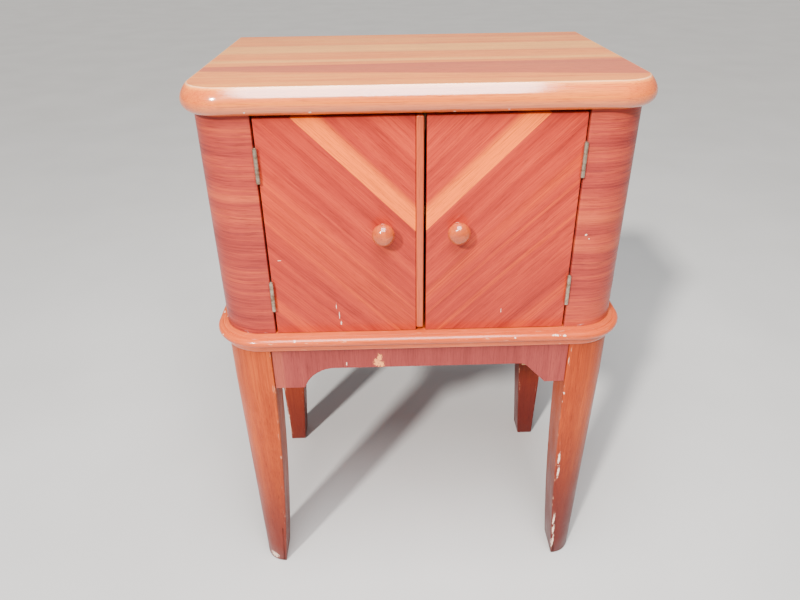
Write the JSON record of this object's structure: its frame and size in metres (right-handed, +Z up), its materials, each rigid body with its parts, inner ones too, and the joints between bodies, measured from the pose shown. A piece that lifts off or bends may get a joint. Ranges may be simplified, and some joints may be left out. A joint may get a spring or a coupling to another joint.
{
  "type": "sewing table",
  "caption": "Small sewing cabinet on tapered legs, with a moulded top, rounded front corners, outward-opening doors with ball knobs, and a shelf inside.",
  "frame": {"origin": "on the floor, under the middle of the bounding box", "axes": "+X to the right seen from the front, +Y to the back, +Z up; the doors face -Y"},
  "size_m": [0.515, 0.3682, 0.732],
  "materials": {
    "top_wood": "gloss varnish",
    "moulding_wood": "gloss varnish",
    "case_veneer": "satin varnish",
    "door_veneer": "satin varnish",
    "strip_wood": "satin varnish",
    "apron_veneer": "satin varnish",
    "leg_wood": "satin varnish",
    "knob_wood": "gloss varnish",
    "carcass_wood": "plain, sealed",
    "hinge_metal": "dull, worn",
    "catch_brass": "satin",
    "steel": "dull"
  },
  "bodies": {
    "cabinet": {"top_slab": "top_wood", "base_board": "moulding_wood", "back_panel": "carcass_wood", "shelf": "carcass_wood", "top_rail": "carcass_wood", "apron_front": "apron_veneer", "apron_back": "apron_veneer", "side_panel_left": "case_veneer", "front_stile_left": "carcass_wood", "top_cleat_left": "carcass_wood", "shelf_cleat_left": "carcass_wood", "apron_left": "apron_veneer", "leg_front_left": "leg_wood", "leg_rear_left": "leg_wood", "corner_brace_front_left": "carcass_wood", "corner_brace_rear_left": "carcass_wood", "catch_left": "catch_brass", "hinge_case_leaf_upper_left": "hinge_metal", "hinge_case_leaf_lower_left": "hinge_metal", "hinge_pin_upper_left": "hinge_metal", "hinge_pin_lower_left": "hinge_metal", "side_panel_right": "case_veneer", "front_stile_right": "carcass_wood", "top_cleat_right": "carcass_wood", "shelf_cleat_right": "carcass_wood", "apron_right": "apron_veneer", "leg_front_right": "leg_wood", "leg_rear_right": "leg_wood", "corner_brace_front_right": "carcass_wood", "corner_brace_rear_right": "carcass_wood", "catch_right": "catch_brass", "hinge_case_leaf_upper_right": "hinge_metal", "hinge_case_leaf_lower_right": "hinge_metal", "hinge_pin_upper_right": "hinge_metal", "hinge_pin_lower_right": "hinge_metal"},
    "left_door": {"door_left": "door_veneer", "meeting_strip": "strip_wood", "knob_left": "knob_wood", "knob_screw_left": "steel", "strike_left": "catch_brass", "hinge_door_leaf_upper_left": "hinge_metal", "hinge_door_leaf_lower_left": "hinge_metal"},
    "right_door": {"door_right": "door_veneer", "knob_right": "knob_wood", "knob_screw_right": "steel", "strike_right": "catch_brass", "hinge_door_leaf_upper_right": "hinge_metal", "hinge_door_leaf_lower_right": "hinge_metal"}
  },
  "joints": [
    {"name": "left_door_hinge", "type": "hinge", "parent": "cabinet", "child": "left_door", "pos_m": [-0.1759, -0.1632, 0.56925], "axis": [0, 0, -1], "range_deg": [0, 180]},
    {"name": "right_door_hinge", "type": "hinge", "parent": "cabinet", "child": "right_door", "pos_m": [0.1759, -0.1632, 0.56925], "axis": [0, 0, 1], "range_deg": [0, 180]}
  ]
}
